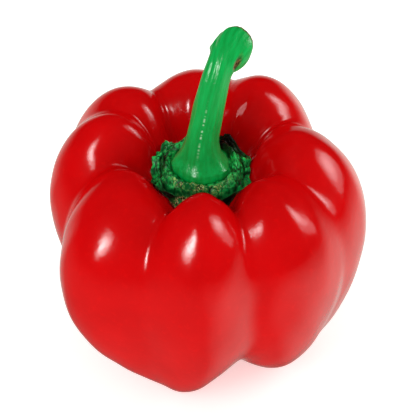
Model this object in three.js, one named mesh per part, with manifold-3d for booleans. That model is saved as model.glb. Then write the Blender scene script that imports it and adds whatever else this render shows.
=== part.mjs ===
// A red bell pepper: the fruit, the calyx that sits in the well at its top, and the stem that
// grows out of the calyx. Millimetres, +Z up. It stands on the flat spots of its lobe tips at z = 0.

import * as THREE from "three";
import { ParametricGeometry } from "three/addons/geometries/ParametricGeometry.js";
import { mergeVertices } from "three/addons/utils/BufferGeometryUtils.js";
import Module from "manifold-3d";

const wasm = await Module();
wasm.setup();

// ---- sizes -------------------------------------------------------------------------------

// The fruit's profile where no crease cuts in.
const girthRadius = 49.5;
const girthHeight = 47;
const crestRadius = 26; // of the ring of shoulders around the well
const crestHeight = 78.5;
const wellRadius = 15.5;
const wellFloorHeight = 62.5;
const tipRadius = 23; // of the ring of lobe tips that the fruit stands on
const tipDepth = 1.8; // of the lobe tips' control points below the table, so that they meet it flat
const scarRadius = 4; // of the blossom scar, in the hollow between the lobe tips
const scarHeight = 11;
const crestLean = -2.2; // along X, of the fruit's axis at the height of its shoulders

const seatGap = 0.3; // between the stem and the calyx
const wellGap = 0.5; // between the calyx and the well, more because both are faceted there

// The calyx: a thick plate with a cornered rim and a raised collar around the stem's foot.
const rimRadius = 15.6; // of the rim's corners, on average
const rimThickness = 1.4;
const seatThickness = 3.6; // of the plate under the stem
const collarRise = 1.9; // of the collar's crest above the stem's seat

// The stem: a wide foot, a leaning shaft, a neck and a swollen knob, cut at a slant.
const footRadius = 8.6;
const footHeight = 1.6; // of the foot's edge, up to where it narrows
const shaftRadius = 4.4;
const neckRadius = 3.9;
const knobRadius = 5.8;
const cutRadius = 5.4;
const cutWay = [0.45, 0.78, -0.43]; // the way that the slanting cut faces
const slantStart = 0.74; // share of the stem's length from which its rings turn towards the cut
const stemHeight = 37.4; // from its seat to the middle of the cut
const stemLean = [11.1, 10.7]; // along X and Y, of the middle of the cut
const ridgeCount = 5;
const ridgeHeight = 0.25;

// How finely the bodies are divided.
const fruitSides = 72;
const fruitRings = 34;
const calyxSides = 60;
const stemSides = 30;

// ---- shape tables ------------------------------------------------------------------------

// One control point of a meridian. `way` is the direction in which lobes push the surface out
// and creases pull it in. `lobe`, `crease` and `turn` say how much the station follows the
// lobes' push, the creases' depth and their angle at the [top, side, foot].
const station = (radius, height, way, lobe, crease, turn) => (
  { at: [radius, height], way, lobe, crease, turn }
);

const mix = THREE.MathUtils.lerp;
const outwards = (share) => mix(tipRadius, girthRadius, share);
const upwards = (share) => mix(girthHeight, crestHeight, share);
const innerWallHeight = mix(wellFloorHeight, crestHeight, 0.56);

// From the scar up over the girth and the crest, down to the middle of the well.
const stations = [
  station(0, scarHeight, [0, -1], [0, 0, 0], [0, 0, 0], [0, 0, 1]),
  station(scarRadius, scarHeight, [0, -1], [0, 0, 0], [0, 0, 0], [0, 0, 1]),
  station(tipRadius * 0.52, -1, [-0.2, -0.98], [0, 0, 0.6], [0, 0, 0.9], [0, 0, 1]),
  station(tipRadius, -tipDepth, [0.2, -0.98], [0, 0, 1], [0, 0, 1], [0, 0, 1]),
  station(outwards(0.42), girthHeight * 0.06, [0.8, -0.6], [0, 0.2, 0.7], [0, 0.3, 0.7], [0, 0.3, 0.7]),
  station(outwards(0.72), girthHeight * 0.34, [0.95, -0.3], [0, 0.6, 0.3], [0, 0.7, 0.3], [0, 0.6, 0.4]),
  station(outwards(0.9), girthHeight * 0.66, [1, -0.1], [0, 1, 0], [0, 1, 0], [0, 0.9, 0.1]),
  station(girthRadius, girthHeight, [1, 0], [0, 1, 0], [0, 1, 0], [0, 1, 0]),
  station(outwards(0.9), upwards(0.51), [0.9, 0.4], [0.2, 0.8, 0], [0.3, 0.7, 0], [0.1, 0.9, 0]),
  station(outwards(0.53), upwards(0.89), [0.5, 0.87], [0.7, 0.3, 0], [0.8, 0.2, 0], [0.4, 0.6, 0]),
  station(crestRadius, crestHeight, [0, 1], [1, 0, 0], [1, 0, 0], [0.7, 0.3, 0]),
  station(wellRadius + 2, innerWallHeight, [-0.5, 0.9], [0.7, 0, 0], [0.8, 0, 0], [1, 0, 0]),
  station(wellRadius, wellFloorHeight + 1.5, [-0.3, 1], [0.1, 0, 0], [0.4, 0, 0], [1, 0, 0]),
  station(wellRadius * 0.71, wellFloorHeight, [0, 1], [0, 0, 0], [0, 0, 0], [1, 0, 0]),
  station(0, wellFloorHeight, [0, 1], [0, 0, 0], [0, 0, 0], [1, 0, 0]),
];

// Eight shoulders, counterclockwise from the one at the right, and at 253 degrees the tip that
// the front two share. `push` is how far each stands out from the plain profile at its
// [top, side, foot].
const lobes = [
  { angle: 5, spread: 54, push: [2, 0.5, 0] },
  { angle: 48, spread: 45, push: [4, -2, 0] },
  { angle: 97, spread: 42, push: [1.5, 0, 0] },
  { angle: 132, spread: 42, push: [4.5, 0.5, 0] },
  { angle: 174, spread: 45, push: [3, -1.2, 0] },
  { angle: 220, spread: 40, push: [-2, 4.5, -1.2] },
  { angle: 253, spread: 30, push: [0, 0, 3] },
  { angle: 271, spread: 48, push: [3, 0.5, 0.2] },
  { angle: 315, spread: 42, push: [0, 0, 1] },
];

// Four deep creases run from the calyx to the foot and part the four chambers. Four shallow
// ones divide each chamber's shoulder in two. Angles and depths are at the [top, side, foot].
const creases = [
  { angle: [31, 27, 25], depth: [9, 7, 13], spread: [32, 36, 40] },
  { angle: [74, 74, 74], depth: [5, 1.5, 0], spread: [28, 26, 26] },
  { angle: [119, 115, 112], depth: [9, 7, 13], spread: [30, 36, 40] },
  { angle: [144, 157, 157], depth: [5.5, 2, 0], spread: [26, 26, 26] },
  { angle: [184, 198, 203], depth: [9, 7, 13], spread: [30, 34, 40] },
  { angle: [247, 247, 245], depth: [7.5, 4.2, 0], spread: [26, 30, 34] },
  { angle: [295, 289, 287], depth: [8.5, 4.2, 13.5], spread: [26, 25, 40] },
  { angle: [343, 332, 330], depth: [6, 1.5, 0], spread: [28, 26, 26] },
];

// Corners of the calyx's rim, which point into the creases. `reach` is over the rim's radius.
const corners = [
  { angle: 26, reach: 0.6 },
  { angle: 62, reach: -0.2 },
  { angle: 97, reach: 0.2 },
  { angle: 133, reach: 0.6 },
  { angle: 166, reach: -0.5 },
  { angle: 201, reach: 0.3 },
  { angle: 246, reach: 1.4 },
  { angle: 300, reach: -0.4 },
  { angle: 337, reach: -0.1 },
];

// ---- helpers -----------------------------------------------------------------------------

const turnsApart = (a, b) => THREE.MathUtils.euclideanModulo(a - b + 180, 360) - 180;

// Three values at the top, side and foot, blended by three weights.
const blend = (weights, values) => weights.reduce((sum, weight, k) => sum + weight * values[k], 0);

// A round bump, 1 in the middle and 0 from x = 1 on.
const bump = (x) => 0.5 + 0.5 * Math.cos(Math.PI * Math.min(Math.abs(x), 1));

// A crease's depth across its width: (1 - |x|) squared, with a bottom rounded over `round`.
function valley(x, round = 0.12) {
  const slope = (Math.hypot(x, round) - round) / (Math.hypot(1, round) - round);
  return (1 - Math.min(slope, 1)) ** 2;
}

// One closed body through rings from its lowest pole to its highest. The first and the last
// ring are single points. pointOf(ring, angle) gives a point, with the angle in degrees.
function closedLoft(rings, sides, pointOf) {
  const placeVertex = (u, v, target) => {
    const ring = rings[Math.round(v * (rings.length - 1))];
    target.copy(pointOf(ring, Math.round(u * sides) % sides * 360 / sides));
  };
  return new ParametricGeometry(placeVertex, sides, rings.length - 1);
}

// Leans a body with the fruit's axis: each level moves along X in proportion to its height.
function leaned(geometry) {
  const shear = crestLean / crestHeight;
  return geometry.applyMatrix4(new THREE.Matrix4().makeShear(0, 0, 0, 0, shear, 0));
}

function solidFrom(geometry) {
  const bare = new THREE.BufferGeometry();
  bare.setAttribute("position", geometry.getAttribute("position"));
  bare.setIndex(geometry.getIndex());
  const merged = mergeVertices(bare, 1e-4);
  const corners = Array.from(merged.getIndex().array);
  const triangles = [];
  for (let k = 0; k < corners.length; k += 3) {
    const [a, b, c] = corners.slice(k, k + 3);
    if (a !== b && b !== c && c !== a) triangles.push(a, b, c);
  }
  return new wasm.Manifold(new wasm.Mesh({
    numProp: 3,
    vertProperties: new Float32Array(merged.getAttribute("position").array),
    triVerts: new Uint32Array(triangles),
  }));
}

function geometryFrom(solid) {
  const mesh = solid.getMesh();
  const geometry = new THREE.BufferGeometry();
  geometry.setAttribute("position", new THREE.BufferAttribute(mesh.vertProperties, 3));
  geometry.setIndex(new THREE.BufferAttribute(mesh.triVerts, 1));
  geometry.computeVertexNormals();
  return geometry;
}

const polar = (radius, degrees, height) => {
  const angle = THREE.MathUtils.degToRad(degrees);
  return new THREE.Vector3(radius * Math.cos(angle), radius * Math.sin(angle), height);
};

// ---- fruit -------------------------------------------------------------------------------

// How far a station is pushed out along its way, at one angle around the fruit.
function pushAt(station, degrees) {
  let push = 0;
  for (const lobe of lobes) {
    push += blend(station.lobe, lobe.push) * bump(turnsApart(degrees, lobe.angle) / lobe.spread);
  }
  for (const crease of creases) {
    const side = crease.angle[1];
    const middle = side + blend(station.turn, crease.angle.map((angle) => turnsApart(angle, side)));
    const across = turnsApart(degrees, middle) / blend(station.turn, crease.spread);
    push -= blend(station.crease, crease.depth) * valley(across);
  }
  return push;
}

// The control points [radius, height] at one angle, mirrored over the axis at both ends.
function meridian(degrees) {
  const controls = stations.map((station) => {
    const push = pushAt(station, degrees);
    return [station.at[0] + station.way[0] * push, station.at[1] + station.way[1] * push];
  });
  const mirrored = (control) => [-control[0], control[1]];
  return [mirrored(controls[1]), ...controls, mirrored(controls.at(-2))];
}

// A point [radius, height] on the uniform cubic B-spline of a meridian. t runs from 0 at the
// scar to stations.length - 1 at the middle of the well.
function alongMeridian(controls, t) {
  const start = Math.min(Math.floor(t), stations.length - 2);
  const u = t - start;
  const weights = [
    (1 - u) ** 3 / 6,
    (3 * u ** 3 - 6 * u ** 2 + 4) / 6,
    (-3 * u ** 3 + 3 * u ** 2 + 3 * u + 1) / 6,
    u ** 3 / 6,
  ];
  const along = (axis) => weights.reduce((sum, weight, k) => sum + weight * controls[start + k][axis], 0);
  return [along(0), along(1)];
}

const lastStation = stations.length - 1;
const crestStation = stations.findIndex((station) => station.at[1] === crestHeight);

// The height of the well's surface at one radius and angle, found by halving.
function wellHeight(radius, degrees) {
  const controls = meridian(degrees);
  let outer = crestStation;
  let inner = lastStation;
  for (let step = 0; step < 30; step += 1) {
    const middle = (outer + inner) / 2;
    if (alongMeridian(controls, middle)[0] > radius) outer = middle;
    else inner = middle;
  }
  return alongMeridian(controls, inner)[1];
}

// The table's top cuts the lobe tips flat.
function makeFruit() {
  const rings = Array.from({ length: fruitRings + 1 }, (_, k) => k * lastStation / fruitRings);
  const pointOf = (t, degrees) => {
    const [radius, height] = alongMeridian(meridian(degrees), t);
    const onAxis = t === 0 || t === lastStation;
    return polar(onAxis ? 0 : radius, degrees, height);
  };
  const table = new THREE.BoxGeometry(4 * girthRadius, 4 * girthRadius, girthHeight);
  table.translate(0, 0, -girthHeight / 2);
  const body = leaned(closedLoft(rings, fruitSides, pointOf));
  return geometryFrom(solidFrom(body).subtract(solidFrom(table)));
}

// ---- calyx -------------------------------------------------------------------------------

const seatHeight = wellFloorHeight + wellGap + seatThickness; // top of the calyx under the stem
const seatRadius = footRadius + seatGap;

// The rim runs straight from corner to corner: the radius of a chord between two of them.
function rimRadiusAt(degrees) {
  const next = corners.findIndex((corner) => corner.angle > degrees);
  const b = corners.at(next < 0 ? 0 : next);
  const a = corners.at(next < 1 ? -1 : next - 1);
  const sine = (from, to) => Math.sin(THREE.MathUtils.degToRad(turnsApart(to, from)));
  const [nearA, nearB] = [rimRadius + a.reach, rimRadius + b.reach];
  const chord = nearA * sine(a.angle, degrees) + nearB * sine(degrees, b.angle);
  return nearA * nearB * sine(a.angle, b.angle) / chord;
}

// The underside keeps its gap to the well, measured square to the well's slope.
function undersideHeight(radius, degrees) {
  const step = 0.5;
  const inside = wellHeight(Math.max(radius - step, 0), degrees);
  const outside = wellHeight(radius + step, degrees);
  const slope = (outside - inside) / (2 * step);
  return wellHeight(radius, degrees) + wellGap * Math.hypot(1, slope);
}

// The top is flat under the stem, rises to the collar and falls to the rim.
function topHeight(share, degrees) {
  const rim = undersideHeight(rimRadiusAt(degrees), degrees) + rimThickness;
  const outward = bump(share);
  return mix(rim, seatHeight + collarRise, outward);
}

function makeCalyx() {
  const rings = [
    { side: "under", share: 0 },
    ...[0.3, 0.55, 0.75, 0.9, 1].map((share) => ({ side: "under", share })),
    ...[1, 0.8, 0.6, 0.4, 0.2].map((share) => ({ side: "slope", share })),
    { side: "slope", share: 0 },
    { side: "seat", share: 1 },
    { side: "seat", share: 0 },
  ];
  const collarRadius = mix(seatRadius, rimRadius, 0.3);
  const pointOf = ({ side, share }, degrees) => {
    const rim = rimRadiusAt(degrees);
    if (side === "under") return polar(rim * share, degrees, undersideHeight(rim * share, degrees));
    if (side === "seat") return polar(seatRadius * share, degrees, seatHeight);
    return polar(mix(collarRadius, rim, share), degrees, topHeight(share, degrees));
  };
  return geometryFrom(solidFrom(leaned(closedLoft(rings, calyxSides, pointOf))));
}

// ---- stem --------------------------------------------------------------------------------

// The middle line rises a little to the right, then bends towards the right and the back.
const stemLine = new THREE.CatmullRomCurve3([
  [0, 0, 0],
  [0, 0.02, 0.08],
  [0.04, 0.07, 0.25],
  [0.15, 0.11, 0.43],
  [0.36, 0.24, 0.73],
  [0.47, 0.35, 0.84],
  [0.61, 0.52, 0.93],
  [0.8, 0.75, 0.98],
  [1, 1, 1],
].map(([x, y, z]) => new THREE.Vector3(x * stemLean[0], y * stemLean[1], z * stemHeight)));

// The radius along the stem: [share of its length, radius].
const stemRadii = [
  [0, footRadius],
  [footHeight / stemHeight, footRadius],
  [0.075, mix(shaftRadius, footRadius, 0.64)],
  [0.115, mix(shaftRadius, footRadius, 0.4)],
  [0.17, mix(shaftRadius, footRadius, 0.22)],
  [0.25, mix(shaftRadius, footRadius, 0.08)],
  [0.38, shaftRadius],
  [0.52, shaftRadius],
  [0.66, mix(neckRadius, shaftRadius, 0.6)],
  [0.81, neckRadius],
  [0.85, mix(neckRadius, knobRadius, 0.2)],
  [0.89, mix(neckRadius, knobRadius, 0.62)],
  [0.94, knobRadius],
  [0.98, mix(cutRadius, knobRadius, 0.8)],
  [1, cutRadius],
];

// The way that each ring faces: up in the foot, then along the line, and last the cut's way.
function ringWay(share) {
  if (share < 0.05) return new THREE.Vector3(0, 0, 1);
  const slant = THREE.MathUtils.smoothstep(share, slantStart, 1);
  return stemLine.getTangentAt(share).lerp(new THREE.Vector3(...cutWay), slant).normalize();
}

function makeStem() {
  const rings = [[0, 0], ...stemRadii, [1, 0]];
  const pointOf = ([share, radius], degrees) => {
    const middle = stemLine.getPointAt(share);
    const forward = ringWay(share);
    const right = new THREE.Vector3(1, 0, 0).addScaledVector(forward, -forward.x).normalize();
    const back = forward.clone().cross(right);
    const ridge = ridgeHeight * (Math.cos(ridgeCount * THREE.MathUtils.degToRad(degrees)) - 1);
    const spoke = polar(radius === 0 ? 0 : radius + ridge, degrees, 0);
    return middle.clone().addScaledVector(right, spoke.x).addScaledVector(back, spoke.y);
  };
  const body = closedLoft(rings, stemSides, pointOf).translate(0, 0, seatHeight + seatGap);
  return geometryFrom(solidFrom(leaned(body)));
}

// ---- assembly ----------------------------------------------------------------------------

const pieces = {
  fruit: { geometry: makeFruit(), color: 0xcf080a, roughness: 0.22 },
  calyx: { geometry: makeCalyx(), color: 0x0b5a2c, roughness: 0.6 },
  stem: { geometry: makeStem(), color: 0x039a3a, roughness: 0.4 },
};

const pepper = new THREE.Group();
for (const [name, { geometry, color, roughness }] of Object.entries(pieces)) {
  const mesh = new THREE.Mesh(geometry, new THREE.MeshStandardMaterial({ color, roughness, metalness: 0 }));
  mesh.name = name;
  pepper.add(mesh);
}

// The origin is under the middle of the pepper's box.
const middle = new THREE.Box3().setFromObject(pepper).getCenter(new THREE.Vector3());
pepper.position.set(-middle.x, -middle.y, 0);

export default pepper;
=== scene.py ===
# %% [markdown]
# # A red bell pepper
# A bell pepper is a hollow berry. It grows as one piece with a waxy red skin, and it still
# carries two green pieces of its plant: the calyx, which was the flower's cup, and the stem.
# The three solids of the frame say where each piece is and how big. This lesson replaces each
# with a fine surface of the same shape, and gives it the skin, the cracks and the ridges that
# the real one has.

# %% Open the frame
import bpy
import numpy as np
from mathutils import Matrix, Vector


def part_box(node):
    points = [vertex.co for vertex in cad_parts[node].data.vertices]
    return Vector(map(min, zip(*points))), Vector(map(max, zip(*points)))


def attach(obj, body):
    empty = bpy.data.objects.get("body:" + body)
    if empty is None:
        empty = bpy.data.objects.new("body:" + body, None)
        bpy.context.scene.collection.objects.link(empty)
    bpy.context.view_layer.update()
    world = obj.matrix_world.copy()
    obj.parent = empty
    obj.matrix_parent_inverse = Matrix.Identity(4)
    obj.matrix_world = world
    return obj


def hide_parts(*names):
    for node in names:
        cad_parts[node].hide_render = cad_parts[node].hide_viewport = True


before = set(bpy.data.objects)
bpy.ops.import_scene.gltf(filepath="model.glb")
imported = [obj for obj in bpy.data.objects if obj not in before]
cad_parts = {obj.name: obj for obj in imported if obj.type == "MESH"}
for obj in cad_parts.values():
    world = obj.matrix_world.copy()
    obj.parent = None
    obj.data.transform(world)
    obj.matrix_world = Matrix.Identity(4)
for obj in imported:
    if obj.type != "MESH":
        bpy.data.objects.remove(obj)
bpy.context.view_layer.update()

fruit_low, fruit_high = (np.array(corner) * 1000 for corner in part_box("fruit"))
print("fruit, mm:", (fruit_high - fruit_low).round(1), "nodes:", sorted(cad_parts))

# %% [markdown]
# ## Helpers for shapes
# Each piece is a grid of points: rows go along it and columns go around it. The rings at the
# two ends shrink to one point, so the surface is closed without any cap. Shapes are worked out
# in millimetres with the height in the third place, and become metres only in the mesh.

# %% Blends, bumps and waves
def mix(a, b, share):
    """a where share is 0, b where it is 1, and a straight blend between them."""
    return a + (b - a) * share


def bump(x):
    """A round hill: half of one plus the cosine of pi times x, and 0 from x = 1 on."""
    return 0.5 + 0.5 * np.cos(np.pi * np.minimum(np.abs(x), 1))


def smooth_step(low, high, x):
    """0 up to low, 1 from high, and three squares less two cubes of the share between."""
    share = np.clip((x - low) / (high - low), 0, 1)
    return share * share * (3 - 2 * share)


def turn_between(a, b):
    """The shortest turn from angle b to angle a, in degrees from -180 to 180."""
    return (a - b + 180) % 360 - 180


def waves(degrees, along, around_cycles, along_cycles, count, seed):
    """A sum of cosines of (n times the angle plus m times the way along plus a phase).

    n is a whole number, so the pattern closes on itself around the piece. The sum is divided by
    the square root of half the count, which keeps its spread near 1 for any count.
    """
    random = np.random.default_rng(seed)
    total = np.zeros(np.broadcast(degrees, along).shape)
    for _ in range(count):
        n = random.integers(around_cycles[0], around_cycles[1] + 1)
        m = random.uniform(*along_cycles) * random.choice([-1, 1])
        phase = random.uniform(0, 2 * np.pi)
        total += np.cos(n * np.deg2rad(degrees) + 2 * np.pi * m * along + phase)
    return total / np.sqrt(count / 2)


# %% Splines and surface normals
def cubic_spline(controls, t):
    """A uniform cubic B-spline: four neighbouring controls, weighed by the cubes of the share.

    controls is (points, columns, values) and t is (rows, columns), from 0 at the second
    control to points - 3 at the last but one.
    """
    start = np.clip(np.floor(t).astype(int), 0, len(controls) - 4)
    u = (t - start)[..., None]
    weights = ((1 - u) ** 3, 3 * u ** 3 - 6 * u ** 2 + 4, -3 * u ** 3 + 3 * u ** 2 + 3 * u + 1, u ** 3)
    columns = np.arange(controls.shape[1])[None, :]
    return sum(weight * controls[start + k, columns] for k, weight in enumerate(weights)) / 6


def grid_normals(grid):
    """The unit cross product of the step around and the step along, which points outwards."""
    around = np.roll(grid, -1, axis=1) - np.roll(grid, 1, axis=1)
    along = np.gradient(grid, axis=0)
    normals = np.cross(around, along)
    return normals / np.maximum(np.linalg.norm(normals, axis=2, keepdims=True), 1e-9)


# %% A closed mesh from a grid
def closed_mesh(name, grid, material, slot, **attributes):
    """Make a piece from a grid in mm whose first and last rows are single points.

    attributes are grids of numbers, or of points in mm, that the piece's material reads. Only
    the fruit shows in reflections: the green of the other two, blurred in the wax beside them,
    would turn the red there orange.
    """
    rows, columns = grid.shape[:2]

    def flat(values):
        inner = values[1:-1].reshape(-1, *values.shape[2:])
        return np.concatenate([values[:1].mean(axis=1), inner, values[-1:].mean(axis=1)])

    left = np.arange(columns)
    right = (left + 1) % columns
    start = 1 + np.arange(rows - 3)[:, None] * columns
    quads = np.stack([start + left, start + right, start + columns + right, start + columns + left], -1)
    low_fan = np.stack([np.zeros(columns, int), 1 + right, 1 + left], -1)
    last = 1 + (rows - 3) * columns
    high_fan = np.stack([np.full(columns, last + columns), last + left, last + right], -1)
    faces = quads.reshape(-1, 4).tolist() + low_fan.tolist() + high_fan.tolist()

    mesh = bpy.data.meshes.new(name)
    mesh.from_pydata((flat(grid) / 1000).tolist(), [], faces)
    mesh.shade_smooth()
    for key, values in attributes.items():
        kind = "FLOAT" if values.ndim == 2 else "FLOAT_VECTOR"
        layer = mesh.attributes.new(key, kind, "POINT")
        layer.data.foreach_set("value" if values.ndim == 2 else "vector", flat(values).ravel())
    mesh.materials.append(material)
    piece = bpy.data.objects.new(name, mesh)
    bpy.context.scene.collection.objects.link(piece)
    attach(piece, "root")
    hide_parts(slot[0])
    piece.visible_glossy = slot[0] == "fruit"
    print(name, "triangles:", 2 * columns * (rows - 2))
    return piece


# %% [markdown]
# ## Helpers for materials
# Colours are written as the hex values that a paint chart would give, and one function turns
# them into the linear values that a renderer mixes. One small function adds any node.

# %% Colours and nodes
def linear(hex_colour):
    """Linear RGBA from an sRGB hex value: the standard curve, undone channel by channel."""
    srgb = np.array([int(hex_colour[k:k + 2], 16) for k in (1, 3, 5)]) / 255
    low, high = srgb / 12.92, ((srgb + 0.055) / 1.055) ** 2.4
    return (*np.where(srgb <= 0.04045, low, high).tolist(), 1.0)


def add(tree, kind, inputs=None, **properties):
    """Add a node. Each input is a socket to link from, or a value to set."""
    node = tree.nodes.new(kind)
    for key, value in properties.items():
        setattr(node, key, value)
    for key, value in (inputs or {}).items():
        if isinstance(value, bpy.types.NodeSocket):
            tree.links.new(value, node.inputs[key])
        else:
            node.inputs[key].default_value = value
    return node


def new_material(name):
    """An empty material with its shader and its output. Returns the material, tree and shader."""
    material = bpy.data.materials.new(name)
    material.use_nodes = True
    tree = material.node_tree
    return material, tree, tree.nodes["Principled BSDF"]


# %% [markdown]
# ## The fruit's skin
# The skin is a layer of red cells under a thin, clear film of plant wax. The wax gives hard,
# bright reflections over a deep red that has hardly any white in it. Under the wax the skin
# bulges a little, so a reflection's edge is never quite smooth. The real bulges are too fine to
# show, so they are drawn coarser. A coat is the closest thing to the wax. The base layer under
# it only scatters red light and reflects nothing itself, since a second, softer reflection
# would veil the red with grey.

# %% Waxy red skin
SKIN_BULGE = 1.6  # mm between the small bulges of the skin
SKIN_PATCH = 14  # mm across the patches where the red is a little deeper

skin, tree, shader = new_material("waxed_pepper_skin")
place = add(tree, "ShaderNodeTexCoord").outputs["Object"]
patches = add(tree, "ShaderNodeTexNoise", {"Vector": place, "Scale": 1000 / SKIN_PATCH, "Detail": 3.0})
specks = add(tree, "ShaderNodeTexNoise", {"Vector": place, "Scale": 1000 / SKIN_BULGE, "Detail": 2.0})
patch_share = add(tree, "ShaderNodeMapRange", {
    "Value": patches.outputs["Fac"], "From Min": 0.35, "From Max": 0.68})
speck_share = add(tree, "ShaderNodeMapRange", {
    "Value": specks.outputs["Fac"], "From Min": 0.55, "From Max": 0.8, "To Max": 0.35})
deep = add(tree, "ShaderNodeMixRGB", {
    "Fac": patch_share.outputs["Result"], "Color1": linear("#d20206"), "Color2": linear("#c70205")})
red = add(tree, "ShaderNodeMixRGB", {
    "Fac": speck_share.outputs["Result"], "Color1": deep.outputs["Color"], "Color2": linear("#e20908")})
cells = add(tree, "ShaderNodeBump", {
    "Height": specks.outputs["Fac"], "Strength": 0.1, "Distance": 0.0004})
tree.links.new(red.outputs["Color"], shader.inputs["Base Color"])
tree.links.new(cells.outputs["Normal"], shader.inputs["Normal"])
tree.links.new(cells.outputs["Normal"], shader.inputs["Coat Normal"])
shader.inputs["Roughness"].default_value = 0.45
shader.inputs["Specular IOR Level"].default_value = 0.0
shader.inputs["Coat Weight"].default_value = 1.0
shader.inputs["Coat Roughness"].default_value = 0.12
shader.inputs["Coat IOR"].default_value = 1.45
print("skin bulges per cm:", round(10 / SKIN_BULGE, 1))

# %% [markdown]
# ## The fruit
# Cut across, a bell pepper is a ring of chambers, and each chamber swells out as a lobe. Where
# two chambers meet, the wall is tied to the core, which leaves a crease. So the surface is
# worked out from one profile, from the scar at the foot up over the girth and the crest into
# the well, and at each angle the profile's control points are pushed out by the lobes and
# pulled in by the creases. A crease is a squared valley with a rounded bottom: two of them
# side by side leave a round lobe between them.

# %% The profile and its sizes
GIRTH_RADIUS, GIRTH_HEIGHT = 49.5, 47
CREST_RADIUS, CREST_HEIGHT = 26, 78.5
WELL_RADIUS, WELL_FLOOR = 15.5, 62.5
TIP_RADIUS, TIP_DEPTH = 23, 1.8
SCAR_RADIUS, SCAR_HEIGHT = 4, 11
CREST_LEAN = -2.2  # along X, of the axis at the height of the crest


def outwards(share):
    """A radius between the lobe tips' and the girth's."""
    return mix(TIP_RADIUS, GIRTH_RADIUS, share)


def upwards(share):
    """A height between the girth's and the crest's."""
    return mix(GIRTH_HEIGHT, CREST_HEIGHT, share)


# Radius, height, the way that lobes push, and how much the point follows the lobes, the
# creases' depth and the creases' angle at the (top, side, foot).
INNER_WALL_HEIGHT = mix(WELL_FLOOR, CREST_HEIGHT, 0.56)
STATIONS = [
    (0, SCAR_HEIGHT, (0, -1), (0, 0, 0), (0, 0, 0), (0, 0, 1)),
    (SCAR_RADIUS, SCAR_HEIGHT, (0, -1), (0, 0, 0), (0, 0, 0), (0, 0, 1)),
    (TIP_RADIUS * 0.52, -1, (-0.2, -0.98), (0, 0, 0.6), (0, 0, 0.9), (0, 0, 1)),
    (TIP_RADIUS, -TIP_DEPTH, (0.2, -0.98), (0, 0, 1), (0, 0, 1), (0, 0, 1)),
    (outwards(0.42), GIRTH_HEIGHT * 0.06, (0.8, -0.6), (0, 0.2, 0.7), (0, 0.3, 0.7), (0, 0.3, 0.7)),
    (outwards(0.72), GIRTH_HEIGHT * 0.34, (0.95, -0.3), (0, 0.6, 0.3), (0, 0.7, 0.3), (0, 0.6, 0.4)),
    (outwards(0.9), GIRTH_HEIGHT * 0.66, (1, -0.1), (0, 1, 0), (0, 1, 0), (0, 0.9, 0.1)),
    (GIRTH_RADIUS, GIRTH_HEIGHT, (1, 0), (0, 1, 0), (0, 1, 0), (0, 1, 0)),
    (outwards(0.9), upwards(0.51), (0.9, 0.4), (0.2, 0.8, 0), (0.3, 0.7, 0), (0.1, 0.9, 0)),
    (outwards(0.53), upwards(0.89), (0.5, 0.87), (0.7, 0.3, 0), (0.8, 0.2, 0), (0.4, 0.6, 0)),
    (CREST_RADIUS, CREST_HEIGHT, (0, 1), (1, 0, 0), (1, 0, 0), (0.7, 0.3, 0)),
    (WELL_RADIUS + 2, INNER_WALL_HEIGHT, (-0.5, 0.9), (0.7, 0, 0), (0.8, 0, 0), (1, 0, 0)),
    (WELL_RADIUS, WELL_FLOOR + 1.5, (-0.3, 1), (0.1, 0, 0), (0.4, 0, 0), (1, 0, 0)),
    (WELL_RADIUS * 0.71, WELL_FLOOR, (0, 1), (0, 0, 0), (0, 0, 0), (1, 0, 0)),
    (0, WELL_FLOOR, (0, 1), (0, 0, 0), (0, 0, 0), (1, 0, 0)),
]
CREST_STATION = 10
WELL_STATION = len(STATIONS) - 1

# Angle, spread in degrees, and push in mm at the (top, side, foot). The one at 253 degrees is
# the lowest tip, which the front two lobes share.
LOBES = [
    (5, 54, (2, 0.5, 0)),
    (48, 45, (4, -2, 0)),
    (97, 42, (1.5, 0, 0)),
    (132, 42, (4.5, 0.5, 0)),
    (174, 45, (3, -1.2, 0)),
    (220, 40, (-2, 4.5, -1.2)),
    (253, 30, (0, 0, 3)),
    (271, 48, (3, 0.5, 0.2)),
    (315, 42, (0, 0, 1)),
]

# Angles, depths in mm and spreads in degrees, each at the (top, side, foot).
CREASES = [
    ((31, 27, 25), (9, 7, 13), (32, 36, 40)),
    ((74, 74, 74), (5, 1.5, 0), (28, 26, 26)),
    ((119, 115, 112), (9, 7, 13), (30, 36, 40)),
    ((144, 157, 157), (5.5, 2, 0), (26, 26, 26)),
    ((184, 198, 203), (9, 7, 13), (30, 34, 40)),
    ((247, 247, 245), (7.5, 4.2, 0), (26, 30, 34)),
    ((295, 289, 287), (8.5, 4.2, 13.5), (26, 25, 40)),
    ((343, 332, 330), (6, 1.5, 0), (28, 26, 26)),
]
print("stations:", len(STATIONS), "lobes:", len(LOBES), "creases:", len(CREASES))

# %% Meridians
def weigh(weights, values):
    """The sum of three values, each times its weight."""
    return sum(weight * value for weight, value in zip(weights, values))


def crease_angle(crease_angles, weights):
    """A crease's angle between its top, side and foot, by the shortest turns from the side."""
    side = crease_angles[1]
    return side + weigh(weights, [turn_between(angle, side) for angle in crease_angles])


def valley(x, rounding=0.12):
    """(1 - |x|) squared, with |x| replaced by a hyperbola so that the bottom is round."""
    slope = (np.hypot(x, rounding) - rounding) / (np.hypot(1, rounding) - rounding)
    return (1 - np.minimum(slope, 1)) ** 2


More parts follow.
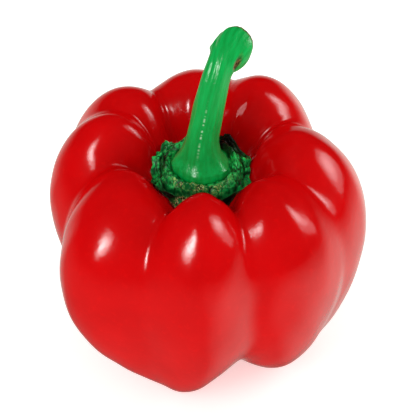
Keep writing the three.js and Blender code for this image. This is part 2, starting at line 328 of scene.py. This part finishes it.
def meridians(degrees):
    """Control points (radius, height) of the profile at each angle, mirrored at both ends."""
    controls = []
    for radius, height, way, lobe_share, depth_share, turn_share in STATIONS:
        push = np.zeros_like(degrees)
        for angle, spread, pushes in LOBES:
            push = push + weigh(lobe_share, pushes) * bump(turn_between(degrees, angle) / spread)
        for angles, depths, spreads in CREASES:
            across = turn_between(degrees, crease_angle(angles, turn_share)) / weigh(turn_share, spreads)
            push = push - weigh(depth_share, depths) * valley(across)
        controls.append(np.stack([radius + way[0] * push, height + way[1] * push], -1))
    controls = np.array(controls)
    over_axis = np.array([-1, 1])
    return np.concatenate([controls[1:2] * over_axis, controls, controls[-2:-1] * over_axis])


def well_height(radius, degrees):
    """The height of the well's surface at each radius and angle, found by halving."""
    controls = meridians(degrees)
    outer = np.full(radius.shape, float(CREST_STATION))
    inner = np.full(radius.shape, float(WELL_STATION))
    for _ in range(24):
        middle = (outer + inner) / 2
        too_far_out = cubic_spline(controls, middle)[..., 0] > radius
        outer = np.where(too_far_out, middle, outer)
        inner = np.where(too_far_out, inner, middle)
    return cubic_spline(controls, inner)[..., 1]


# %% From a plain upright shape to its place in the frame
def leaned(grid):
    """Each level moves along X in proportion to its height, as the fruit's axis leans."""
    return grid + grid[..., 2:] * np.array([CREST_LEAN / CREST_HEIGHT, 0, 0])


def polar(radius, degrees, height):
    """Points at a radius, an angle and a height."""
    angle = np.deg2rad(degrees)
    radius, angle, height = np.broadcast_arrays(radius, angle, height)
    return np.stack([radius * np.cos(angle), radius * np.sin(angle), height], -1)


# %% The fruit's fine surface
FRUIT_COLUMNS, FRUIT_ROWS = 400, 244
DENT, RIPPLE, PLEAT, FOLD = 0.3, 0.045, 0.01, 0.45  # mm, how far each stands in or out
FOLD_HALF_WIDTH = 4.5  # degrees
DEEPEST_TOP = max(depths[0] for _, depths, _ in CREASES)


def crease_lines(degrees, t):
    """Narrow folds along the bottom of each crease, strongest between the crest and the well.

    Each is a round hill FOLD_HALF_WIDTH wide to a side, and its angle follows the crease's.
    """
    turn_shares = np.array([station[5] for station in STATIONS])
    stations = np.arange(len(STATIONS))
    fold = np.zeros(np.broadcast(degrees, t).shape)
    for angles, depths, _ in CREASES:
        path = np.interp(t[:, 0], stations, [crease_angle(angles, share) for share in turn_shares])
        near = bump(turn_between(degrees, path[:, None]) / FOLD_HALF_WIDTH)
        fold = np.maximum(fold, near * depths[0] / DEEPEST_TOP)
    return fold * smooth_step(8.2, 10, t) * (1 - smooth_step(12.2, 13.2, t))


degrees = np.arange(FRUIT_COLUMNS)[None, :] * 360 / FRUIT_COLUMNS
t = np.linspace(0, WELL_STATION, FRUIT_ROWS)[:, None]
profile = cubic_spline(meridians(degrees[0]), np.broadcast_to(t, (FRUIT_ROWS, FRUIT_COLUMNS)))
on_axis = (t == 0) | (t == WELL_STATION)
fruit = polar(np.where(on_axis, 0, profile[..., 0]), degrees, profile[..., 1])

share = t / WELL_STATION
off_axis = smooth_step(0, 2, t) * (1 - smooth_step(12.5, 13.6, t))
near_crest = smooth_step(8.4, 10.2, t) * (1 - smooth_step(12.4, 13.4, t))
dents = DENT * waves(degrees, share, (3, 9), (1, 3), 14, seed=1)
ripple = RIPPLE * waves(degrees, share, (14, 34), (4, 11), 30, seed=2)
pleats = PLEAT * waves(degrees, share, (24, 50), (0, 3), 18, seed=3) * near_crest
relief = off_axis * (dents + ripple) + pleats - FOLD * crease_lines(degrees, t)
fruit = leaned(fruit + relief[..., None] * grid_normals(fruit))

fruit_middle = (fruit.min(axis=(0, 1)) + fruit.max(axis=(0, 1))) / 2
to_frame = (fruit_low + fruit_high) / 2 - fruit_middle
to_frame[2] = 0
fruit += to_frame
fruit[..., 2] = np.maximum(fruit[..., 2], fruit_low[2])
print("fine fruit, mm:", np.ptp(fruit, axis=(0, 1)).round(1), "moved", to_frame.round(2))

closed_mesh("pepper_fruit", fruit, skin, ("fruit", "fruit_skin"))

# %% [markdown]
# ## The calyx's tissue
# The calyx dries before the fruit does. Its green is dark, its surface is crumpled like old
# paper, and its cracks and edges turn tan and brown. The mesh carries two numbers at each
# point, how much painted shade it has and how dry it is, and the colour follows them. The
# painted shade turns it nearly black in the cracks, the groove and the low folds, on the
# underside and down the steep fall at the front. It also lays a painted shadow behind the
# stem's foot and painted shade beside it.

# %% Dry green calyx
calyx_skin, tree, shader = new_material("dry_calyx_tissue")
place = add(tree, "ShaderNodeTexCoord").outputs["Object"]
crack = add(tree, "ShaderNodeAttribute", attribute_name="crack")
dry = add(tree, "ShaderNodeAttribute", attribute_name="dry")
blotches = add(tree, "ShaderNodeTexNoise", {"Vector": place, "Scale": 1000 / 1.8, "Detail": 5.0})
flecks = add(tree, "ShaderNodeTexNoise", {"Vector": place, "Scale": 1000 / 0.5, "Detail": 2.0})
blotch_share = add(tree, "ShaderNodeMapRange", {
    "Value": blotches.outputs["Fac"], "From Min": 0.42, "From Max": 0.6})
green = add(tree, "ShaderNodeMixRGB", {
    "Fac": blotch_share.outputs["Result"], "Color1": linear("#026f31"), "Color2": linear("#12d968")})
fleck_share = add(tree, "ShaderNodeMapRange", {
    "Value": flecks.outputs["Fac"], "From Min": 0.5, "From Max": 0.56})
tan = add(tree, "ShaderNodeMixRGB", {
    "Fac": fleck_share.outputs["Result"], "Color1": linear("#3c1d0c"), "Color2": linear("#d9b877")})
dry_share = add(tree, "ShaderNodeMath", {
    0: blotch_share.outputs["Result"], 1: dry.outputs["Fac"]}, operation="MULTIPLY")
dried = add(tree, "ShaderNodeMixRGB", {
    "Fac": dry_share.outputs["Value"], "Color1": green.outputs["Color"], "Color2": tan.outputs["Color"]})
# Painted shade: the colour goes nearly black wherever the mesh carries painted shade.
cracked = add(tree, "ShaderNodeMixRGB", {
    "Fac": crack.outputs["Fac"], "Color1": dried.outputs["Color"], "Color2": linear("#040b05")})
fibres = add(tree, "ShaderNodeBump", {
    "Height": blotches.outputs["Fac"], "Strength": 0.7, "Distance": 0.0006})
tree.links.new(cracked.outputs["Color"], shader.inputs["Base Color"])
tree.links.new(fibres.outputs["Normal"], shader.inputs["Normal"])
shader.inputs["Roughness"].default_value = 0.3
shader.inputs["Specular IOR Level"].default_value = 0.12
print("calyx nodes:", len(tree.nodes))

# %% [markdown]
# ## The calyx
# The calyx lies in the well like a small crumpled plate. Its corners point into the fruit's
# creases, and around the stem's foot it rises to a collar. It is worked out in two sheets over
# the same angles: the underside keeps a small gap to the well, and the top adds the plate's
# thickness, the collar and a groove outside it. At the front the plate has shrunk away and
# falls steeply outside the collar, all but one brown tooth, and at the back the rim curls up.
# Cracks are narrow valleys at uneven angles, and each wanders so that no two look alike.

# %% Calyx sizes
WELL_GAP, SEAT_GAP = 0.5, 0.3  # mm, from the calyx to the well and to the stem
SEAT_THICKNESS, RIM_THICKNESS = 3.6, 0.7
SEAT_HEIGHT = WELL_FLOOR + WELL_GAP + SEAT_THICKNESS
FOOT_RADIUS = 8.6
SEAT_RADIUS = FOOT_RADIUS + SEAT_GAP
RIM_RADIUS = 15.6
COLLAR_RADIUS, COLLAR_WIDTH, COLLAR_RISE = 10.4, 2.2, 1.9
GROOVE_RADIUS, GROOVE_WIDTH, GROOVE_DEPTH = 12.5, 0.7, 0.8
FRONT, TOOTH = 268, 245  # degrees, the middle of the fallen front and the tooth left in it
FALL_DEPTH, CRACK_DEPTH, CURL_RISE = 2.4, 0.8, 0.35
CRACK_HALF_WIDTH = 2.6  # degrees
# Angle, and reach over the rim's radius in mm.
CALYX_CORNERS = [
    (26, 0.6), (62, -0.2), (97, 0.2), (133, 0.6), (166, -0.5), (201, 0.3), (246, 1.4), (300, -0.4),
    (337, -0.1),
]
CALYX_COLUMNS, UNDER_ROWS, TOP_ROWS, SEAT_ROWS = 360, 30, 110, 5


def rim_radius(degrees):
    """The radius of the chord between the two corners on either side of each angle."""
    angles = np.array([angle for angle, _ in CALYX_CORNERS])
    radii = RIM_RADIUS + np.array([reach for _, reach in CALYX_CORNERS])
    after = np.searchsorted(angles, degrees, side="right") % len(angles)
    before = after - 1
    from_before = np.deg2rad(turn_between(degrees, angles[before]))
    to_after = np.deg2rad(turn_between(angles[after], degrees))
    chord = radii[before] * np.sin(from_before) + radii[after] * np.sin(to_after)
    return radii[before] * radii[after] * np.sin(from_before + to_after) / chord


def under_height(radius, degrees):
    """The well's height plus the gap, which is measured square to the well's slope."""
    step = 0.5
    rise = well_height(radius + step, degrees) - well_height(np.maximum(radius - step, 0), degrees)
    return well_height(radius, degrees) + WELL_GAP * np.hypot(1, rise / (2 * step))


# %% The calyx's two sheets
degrees = np.arange(CALYX_COLUMNS) * 360 / CALYX_COLUMNS
rim = rim_radius(degrees) + 0.16 * waves(degrees, 0, (9, 30), (0, 0), 12, seed=11)

under_share = np.linspace(0, 1, UNDER_ROWS)[:, None]
under_radius = under_share * rim
under = polar(under_radius, degrees, under_height(under_radius, degrees))

top_share = np.linspace(1, 0, TOP_ROWS)[:, None]
top_radius = mix(SEAT_RADIUS, rim, top_share)
rim_height = under_height(rim[None], degrees) + RIM_THICKNESS
plate = mix(SEAT_HEIGHT, rim_height, smooth_step(0, 1, top_share))

# The collar stands around the foot, and the groove outside it wanders around its radius.
groove_radius = GROOVE_RADIUS + 0.4 * waves(degrees, 0, (2, 7), (0, 0), 6, seed=12)
collar_rise = COLLAR_RISE + 0.3 * waves(degrees, 0, (2, 6), (0, 0), 5, seed=17)
collar = collar_rise * bump((top_radius - COLLAR_RADIUS) / COLLAR_WIDTH)
groove = bump((top_radius - groove_radius) / GROOVE_WIDTH)

# At the front the plate falls away steeply from the collar, all but one tooth. The fall starts
# 11.1 mm out in the middle of the front, and further out to both sides.
at_front = np.clip(2.5 * bump(turn_between(degrees, FRONT) / 88), 0, 1)
tooth = bump(turn_between(degrees, TOOTH) / 15)
fall_radius = 11.1 + 2.2 * smooth_step(20, 75, np.abs(turn_between(degrees, FRONT)))
fall = at_front * (1 - 0.4 * tooth) * smooth_step(0, 0.8, top_radius - fall_radius)

# Cracks run outwards at uneven angles, and each wanders as it goes.
random = np.random.default_rng(13)
crack_angles = np.cumsum(random.uniform(14, 34, 15)) % 360
crack_depths = random.uniform(0.3, 1, 15)
wander = 3 * waves(degrees * 0, top_share, (0, 0), (0.4, 1.5), 4, seed=14)
cracks = np.zeros(top_radius.shape)
for angle, depth in zip(crack_angles, crack_depths):
    near = bump((turn_between(degrees, angle) + wander) / CRACK_HALF_WIDTH)
    cracks = np.maximum(cracks, depth * near)
cracks *= smooth_step(9.2, 9.9, top_radius)

# Crumpled tissue has sharp ridges and sharp folds, which the size of a wave, up or down, gives.
ridges = np.abs(waves(degrees, top_share, (10, 34), (1.5, 5), 40, seed=15))
folds = np.abs(waves(degrees, top_share, (6, 18), (0.5, 3), 16, seed=16))
crumple = 0.35 * folds - 0.2 * ridges
# The rim at the back curls up from the well at three places.
curl = sum(bump(turn_between(degrees, angle) / 20) for angle in (26, 62, 115))
curl = curl * smooth_step(0.6, 1, top_share)
edges = smooth_step(0, 0.06, top_share) * (1 - smooth_step(0.97, 1, top_share))
relief = collar - GROOVE_DEPTH * groove - CRACK_DEPTH * cracks + crumple - FALL_DEPTH * fall
top_height = plate + edges * relief + CURL_RISE * curl
floor_height = under_height(top_radius, degrees) + 0.35
top_height = np.maximum(top_height, floor_height)
top = polar(top_radius, degrees, top_height)

seat_share = np.linspace(1, 0, SEAT_ROWS + 1)[1:, None]
seat = polar(seat_share * SEAT_RADIUS, degrees, np.full((SEAT_ROWS, 1), SEAT_HEIGHT))
calyx = leaned(np.concatenate([under, top, seat])) + to_frame

# %% What the calyx's material reads
under_dry = np.full(under_radius.shape, 1.0)
# Painted shade on the underside, which lies under the plate.
under_crack = np.full(under_radius.shape, 0.6)
# Painted shadow behind the foot, where the stem's shadow falls, and painted shade beside it,
# both nearly black, and tan tissue on the collar's front.
painted_shadow_behind_foot = bump(turn_between(degrees, 54) / 36) ** 0.25
painted_shade_beside_foot = bump(turn_between(degrees, 166) / 42) * bump((top_radius - 11) / 1.5)
front_ring = bump(turn_between(degrees, FRONT) / 80) * bump((top_radius - 10.6) / 1.4)
front_edge = bump(turn_between(degrees, 262) / 100) * smooth_step(0.86, 0.97, top_share)
brown_tooth = tooth * smooth_step(11.6, 12.4, top_radius)
# Painted shade in the low places between the folds of the crumpled tissue.
painted_shade_in_hollows = 0.9 * np.clip(1 - folds / 0.36, 0, 1)
top_dry = np.clip(0.06 + 1.1 * front_ring + 0.6 * front_edge, 0, 1) + 3 * brown_tooth
# Painted shade: the groove, the cracks, the low folds and the steep fall at the front darken the colour,
# and so do the places behind and beside the foot.
top_crack = np.maximum.reduce([0.9 * groove, cracks, painted_shadow_behind_foot + 0 * cracks, painted_shade_beside_foot, painted_shade_in_hollows, fall])
top_crack = np.clip(top_crack - 0.85 * brown_tooth, 0, 1) * smooth_step(0, 0.05, top_share)
seat_zero = np.zeros((SEAT_ROWS, CALYX_COLUMNS))
calyx_crack = np.concatenate([under_crack, top_crack, seat_zero])
calyx_dry = np.concatenate([under_dry, top_dry, seat_zero])

closed_mesh("pepper_calyx", calyx, calyx_skin, ("calyx", "calyx_green"), crack=calyx_crack, dry=calyx_dry)

# %% [markdown]
# ## The stem's skin
# The stem is still fresh: a smooth, slightly waxy green with long fibres under the skin. The
# fibres show as fine ridges and paler streaks along the stem. Its cut end has dried to brown.
# A pattern in plain space would cut across the bend, so the mesh carries the place that each
# point would have on a straight stem, and the streaks are stretched along that.

# %% Fresh green stem
stem_skin, tree, shader = new_material("fresh_stem_skin")
straight = add(tree, "ShaderNodeAttribute", attribute_name="straight")
dry = add(tree, "ShaderNodeAttribute", attribute_name="dry")
painted_glint = add(tree, "ShaderNodeAttribute", attribute_name="painted_glint")
lengthwise = add(tree, "ShaderNodeMapping", {
    "Vector": straight.outputs["Vector"], "Scale": (1, 1, 0.09)})
fibres = add(tree, "ShaderNodeTexNoise", {
    "Vector": lengthwise.outputs["Vector"], "Scale": 1 / 1.1, "Detail": 4.0})
pores = add(tree, "ShaderNodeTexNoise", {
    "Vector": straight.outputs["Vector"], "Scale": 1 / 0.8, "Detail": 3.0})
fibre_share = add(tree, "ShaderNodeMapRange", {
    "Value": fibres.outputs["Fac"], "From Min": 0.35, "From Max": 0.65})
green = add(tree, "ShaderNodeMixRGB", {
    "Fac": fibre_share.outputs["Result"], "Color1": linear("#009d41"), "Color2": linear("#00b352")})
pore_share = add(tree, "ShaderNodeMapRange", {
    "Value": pores.outputs["Fac"], "From Min": 0.42, "From Max": 0.6})
brown = add(tree, "ShaderNodeMixRGB", {
    "Fac": pore_share.outputs["Result"], "Color1": linear("#2c1608"), "Color2": linear("#7d6330")})
# Painted highlight: a pale line mixed into the green where the mesh carries it.
with_painted_glint = add(tree, "ShaderNodeMixRGB", {
    "Fac": painted_glint.outputs["Fac"], "Color1": green.outputs["Color"], "Color2": linear("#b9efc9")})
coloured = add(tree, "ShaderNodeMixRGB", {
    "Fac": dry.outputs["Fac"], "Color1": with_painted_glint.outputs["Color"], "Color2": brown.outputs["Color"]})
both = add(tree, "ShaderNodeMath", {
    0: fibres.outputs["Fac"], 1: pores.outputs["Fac"]}, operation="ADD")
grain = add(tree, "ShaderNodeBump", {"Height": both.outputs["Value"], "Strength": 0.3, "Distance": 0.0005})
tree.links.new(coloured.outputs["Color"], shader.inputs["Base Color"])
tree.links.new(grain.outputs["Normal"], shader.inputs["Normal"])
tree.links.new(grain.outputs["Normal"], shader.inputs["Coat Normal"])
shader.inputs["Roughness"].default_value = 0.4
shader.inputs["Specular IOR Level"].default_value = 0.05
shader.inputs["Coat Weight"].default_value = 0.4
shader.inputs["Coat Roughness"].default_value = 0.2
print("stem nodes:", len(tree.nodes))

# %% [markdown]
# ## The stem
# The stem is a profile of radii carried along a bent middle line. It stands on a wide foot that
# swells in a few places like the roots of a tree, narrows to the shaft and then to a neck, and
# flares to a slanting cut that faces the back. On the flare's left side a strip of skin has
# lifted into a lip, and under its right edge there is a torn, dry notch. Five soft ridges and
# some finer ones run along the shaft, and a painted highlight lies on it as a broken pale line.

# %% Stem sizes
STEM_HEIGHT = 37.4
STEM_LEAN = np.array([11.1, 10.7])
SHAFT_RADIUS, NECK_RADIUS, KNOB_RADIUS, CUT_RADIUS = 4.4, 3.9, 5.8, 5.4
CUT_WAY = np.array([0.45, 0.78, -0.43])  # the way that the slanting cut faces
RIDGE_COUNT, RIDGE_WIND = 5, 60
RIDGE, FIBRE_RIDGE = 0.11, 0.14  # mm, how far they stand out
# The angle of the painted highlight's line on the shaft.
PAINTED_GLINT_ANGLE = 258  # degrees
STEM_COLUMNS, STEM_ROWS, CUT_ROWS = 180, 250, 26

# Shares of the lean in X, the lean in Y and the height.
STEM_LINE = [
    (0, 0, 0), (0, 0.02, 0.08), (0.04, 0.07, 0.25), (0.15, 0.11, 0.43), (0.27, 0.17, 0.61),
    (0.36, 0.24, 0.73), (0.47, 0.35, 0.84), (0.61, 0.52, 0.93), (0.8, 0.75, 0.98), (1, 1, 1),
]
# Share of the length, radius.
STEM_RADII = [
    (0, FOOT_RADIUS), (0.04, FOOT_RADIUS), (0.075, 7.1), (0.115, 6.1), (0.17, 5.4), (0.25, 4.8),
    (0.38, SHAFT_RADIUS), (0.52, SHAFT_RADIUS), (0.66, 4.2), (0.76, 4.0), (0.81, NECK_RADIUS),
    (0.85, 4.3), (0.89, 5.1), (0.94, KNOB_RADIUS), (0.98, 5.8), (1, CUT_RADIUS),
]
FOOT_SWELLS = [(190, 1.0, 24), (262, 0.5, 26), (325, 1.1, 26), (60, 0.8, 30), (120, 0.6, 26)]

# %% The stem's surface
def spline_through_ends(points, t):
    """The cubic spline of a list of points, with a mirrored point past each end."""
    points = np.array(points, dtype=float)
    padded = np.concatenate([2 * points[:1] - points[1:2], points, 2 * points[-1:] - points[-2:-1]])
    return cubic_spline(padded[:, None], t[:, None])[:, 0]


line = spline_through_ends(STEM_LINE, np.linspace(0, len(STEM_LINE) - 1, 400))
line = line * np.array([*STEM_LEAN, STEM_HEIGHT])
length = np.concatenate([[0], np.cumsum(np.linalg.norm(np.diff(line, axis=0), axis=1))])
radii = spline_through_ends(STEM_RADII, np.linspace(0, len(STEM_RADII) - 1, 400))

share = np.linspace(0, 1, STEM_ROWS)
middle = np.stack([np.interp(share * length[-1], length, line[:, axis]) for axis in range(3)], -1)
forward = np.gradient(middle, axis=0)
forward /= np.linalg.norm(forward, axis=1, keepdims=True)
forward[share < 0.04] = (0, 0, 1)
forward = mix(forward, CUT_WAY, smooth_step(0.74, 1, share)[:, None])
forward /= np.linalg.norm(forward, axis=1, keepdims=True)
right = np.array([1, 0, 0]) - forward[:, :1] * forward
right /= np.linalg.norm(right, axis=1, keepdims=True)
back = np.cross(forward, right)

degrees = np.arange(STEM_COLUMNS)[None, :] * 360 / STEM_COLUMNS
along = share[:, None]
radius = np.interp(share, radii[:, 0], radii[:, 1])[:, None] + np.zeros(degrees.shape)
at_foot = bump(along / 0.2)
for angle, swell, spread in FOOT_SWELLS:
    radius = radius + swell * at_foot * bump(turn_between(degrees, angle) / spread)
radius = radius - 0.55 * at_foot
on_shaft = smooth_step(0.05, 0.2, along)
# The five ridges wind around by RIDGE_WIND / RIDGE_COUNT degrees over the stem's length.
radius = radius + on_shaft * RIDGE * np.cos(np.deg2rad(RIDGE_COUNT * degrees + RIDGE_WIND * along))
radius = radius + on_shaft * FIBRE_RIDGE * bump(turn_between(degrees, 250) / 9)
radius = radius + on_shaft * 0.03 * waves(degrees, along, (9, 22), (0, 1.5), 16, seed=21)
radius = radius + 0.1 * waves(degrees, along, (1, 4), (1, 4), 12, seed=22)

# The lip on the left of the flare, with a groove on its near side.
lip = bump((along - 0.9) / 0.06) * bump(turn_between(degrees, 188) / 26)
lip_groove = bump((along - 0.905) / 0.07) * bump(turn_between(degrees, 222) / 12)
radius = radius + 0.7 * lip - 0.5 * lip_groove
# The notch under the flare's right edge, where the skin has torn and dried.
notch = bump((along - 0.865) / 0.05) * bump(turn_between(degrees, 350) / 24)
radius = radius - 0.7 * notch
radius = np.minimum(radius, mix(FOOT_RADIUS + 0.1, 20, smooth_step(0.04, 0.1, along)))

angle = np.deg2rad(degrees)[..., None]
spokes = right[:, None] * np.cos(angle) + back[:, None] * np.sin(angle)
side = middle[:, None] + radius[..., None] * spokes

# The cut face: rings that shrink to the middle, dished and rough like torn pith.
cut_share = np.linspace(1, 0, CUT_ROWS + 1)[1:, None]
torn = 0.25 * cut_share * waves(degrees, cut_share, (3, 12), (1, 3), 14, seed=23)
cut_relief = torn - 0.9 * (1 - cut_share ** 4)
cut_spokes = cut_share[..., None] * radius[-1][None, :, None] * spokes[-1]
cut = middle[-1] + cut_spokes + cut_relief[..., None] * forward[-1]
foot = np.broadcast_to(middle[0], (1, STEM_COLUMNS, 3))
stem = np.concatenate([foot, side, cut])
stem = leaned(stem + np.array([0, 0, SEAT_HEIGHT + SEAT_GAP])) + to_frame

# %% What the stem's material reads
straight_side = polar(radius, degrees, along * length[-1])
straight_cut = polar(cut_share * radius[-1], degrees, np.full(cut_share.shape, length[-1]))
straight_foot = polar(np.zeros((1, 1)), degrees, np.zeros((1, 1)))
straight = np.concatenate([straight_foot, straight_side, straight_cut])
side_dry = np.clip(smooth_step(0.975, 1, along) + 1.6 * notch, 0, 1)
stem_dry = np.concatenate([np.zeros((1, STEM_COLUMNS)), side_dry, np.ones((CUT_ROWS, STEM_COLUMNS))])
# A painted highlight lies on the shaft's left front as a broken pale line.
gaps = smooth_step(-0.5, 0.9, waves(degrees * 0, along, (0, 0), (2, 48), 24, seed=24))
painted_glint_line = bump(turn_between(degrees, PAINTED_GLINT_ANGLE) / 5) * bump((along - 0.36) / 0.28) * gaps
stem_painted_glint = np.concatenate([np.zeros((1, STEM_COLUMNS)), painted_glint_line, np.zeros((CUT_ROWS, STEM_COLUMNS))])

stem_reads = {"straight": straight, "dry": stem_dry, "painted_glint": stem_painted_glint}
closed_mesh("pepper_stem", stem, stem_skin, ("stem", "stem_green"), **stem_reads)
print("stem length, mm:", round(float(length[-1]), 1))

# %% [markdown]
# ## The studio
# The pepper stands on a white table in soft white light. Waxy skin shows every lamp as a
# bright patch, so the lamps' sizes and places matter as much as their power: a key lamp at the
# left and front, and a larger one like a window at the right. The sky is white for soft light
# and for the backdrop. In reflections it is black above, as a dark ceiling is, and only the
# floor below the horizon shows, brightest to the right and behind. Without that the red would
# be veiled with white. The table itself stays out of reflections for the same reason, and the
# sky's lower half stands in for it.

# %% Table
# Matt white laminate shows no highlight and only a soft shadow. Its small glow stands in for
# the light that white walls would throw on it.
table_material, tree, shader = new_material("white_laminate")
place = add(tree, "ShaderNodeTexCoord").outputs["Object"]
grain = add(tree, "ShaderNodeTexNoise", {"Vector": place, "Scale": 1000 / 0.8, "Detail": 2.0})
tint = add(tree, "ShaderNodeMixRGB", {
    "Fac": grain.outputs["Fac"], "Color1": linear("#f8f8f8"), "Color2": linear("#fcfcfc")})
tree.links.new(tint.outputs["Color"], shader.inputs["Base Color"])
shader.inputs["Roughness"].default_value = 0.8
shader.inputs["Specular IOR Level"].default_value = 0.0
shader.inputs["Emission Color"].default_value = (1, 1, 1, 1)
shader.inputs["Emission Strength"].default_value = 0.5

HALF_TABLE = 4.0
table_mesh = bpy.data.meshes.new("table")
corners = [(x * HALF_TABLE, y * HALF_TABLE, 0) for x, y in ((-1, -1), (1, -1), (1, 1), (-1, 1))]
table_mesh.from_pydata(corners, [], [(0, 1, 2, 3)])
table_mesh.materials.append(table_material)
table = bpy.data.objects.new("table", table_mesh)
bpy.context.scene.collection.objects.link(table)
table.visible_glossy = False

# %% Sky
world = bpy.data.worlds.new("white_studio")
world.use_nodes = True
bpy.context.scene.world = world
tree = world.node_tree
rays = add(tree, "ShaderNodeLightPath")
way = add(tree, "ShaderNodeSeparateXYZ", {"Vector": add(tree, "ShaderNodeTexCoord").outputs["Generated"]})
floor_share = add(tree, "ShaderNodeMapRange", {
    "Value": way.outputs["Z"], "From Min": 0.02, "From Max": -0.4, "To Min": 0.0, "To Max": 1.0})
floor_light = add(tree, "ShaderNodeMapRange", {
    "Value": way.outputs["X"], "From Min": 0.1, "From Max": 0.75, "To Min": 0.16, "To Max": 1.1})
floor_behind = add(tree, "ShaderNodeMapRange", {
    "Value": way.outputs["Y"], "From Min": 0.45, "From Max": 0.72, "To Min": 0.0, "To Max": 0.6})
floor_sum = add(tree, "ShaderNodeMath", {
    0: floor_light.outputs["Result"], 1: floor_behind.outputs["Result"]}, operation="ADD")
reflected = add(tree, "ShaderNodeMath", {
    0: floor_share.outputs["Result"], 1: floor_sum.outputs["Value"]}, operation="MULTIPLY")
soft = add(tree, "ShaderNodeMapRange", {
    "Value": way.outputs["Y"], "From Min": -1.0, "From Max": 1.0, "To Min": 0.84, "To Max": 0.7})
strength = add(tree, "ShaderNodeMix", {
    "Factor": rays.outputs["Is Glossy Ray"], "A": soft.outputs["Result"], "B": reflected.outputs["Value"]})
background = tree.nodes["Background"]
background.inputs["Color"].default_value = linear("#fffaf1")
tree.links.new(strength.outputs["Result"], background.inputs["Strength"])
world.cycles.sampling_method = "NONE"

# %% Lamps
# Of each lamp in a softbox: share of the size, share of the power, and whether it lights
# surfaces or only shows in reflections.
NESTED_LAMPS = [(1, 0.5, True), (0.75, 1.5, False), (0.5, 1.8, False)]


def softbox(name, direction, distance, size, power):
    """Round lamps at a distance along a direction from the pepper's middle, facing it.

    A softbox is brightest in its middle, so each is three lamps, one inside the other. The
    inner two only show in reflections, so that they don't cast hard shadows.
    """
    away = Vector(direction).normalized()
    for share, power_share, lights_up in NESTED_LAMPS:
        lamp = bpy.data.lights.new(name, "AREA")
        lamp.shape = "ELLIPSE"
        lamp.size, lamp.size_y = size[0] * share, size[1] * share
        lamp.energy = power * power_share
        holder = bpy.data.objects.new(name, lamp)
        bpy.context.scene.collection.objects.link(holder)
        holder.location = Vector((0, 0, 0.05)) + away * distance
        holder.rotation_euler = away.to_track_quat("Z", "Y").to_euler()
        holder.visible_diffuse = lights_up


softbox("key_lamp", (-0.55, -0.6, 0.6), 0.9, (0.3, 0.6), 3.0)
softbox("window", (0.85, 0.1, 0.52), 1.0, (0.5, 0.9), 3.4)

# %% Camera
CAMERA_ELEVATION = np.deg2rad(45)
CAMERA_DISTANCE = 0.6
VIEW_WIDTH = 0.125  # of what the camera sees at the pepper
aim = Vector((0.0001, 0.0004, 0.0495))
towards_camera = Vector((0, -np.cos(CAMERA_ELEVATION), np.sin(CAMERA_ELEVATION)))
camera_data = bpy.data.cameras.new("camera")
camera_data.sensor_width = 36
camera_data.lens = camera_data.sensor_width * CAMERA_DISTANCE / VIEW_WIDTH
camera = bpy.data.objects.new("camera", camera_data)
camera.location = aim + towards_camera * CAMERA_DISTANCE
camera.rotation_euler = towards_camera.to_track_quat("Z", "Y").to_euler()
bpy.context.scene.collection.objects.link(camera)
bpy.context.scene.camera = camera
bpy.context.scene.view_settings.view_transform = "Standard"
print("lens, mm:", round(camera_data.lens, 1))
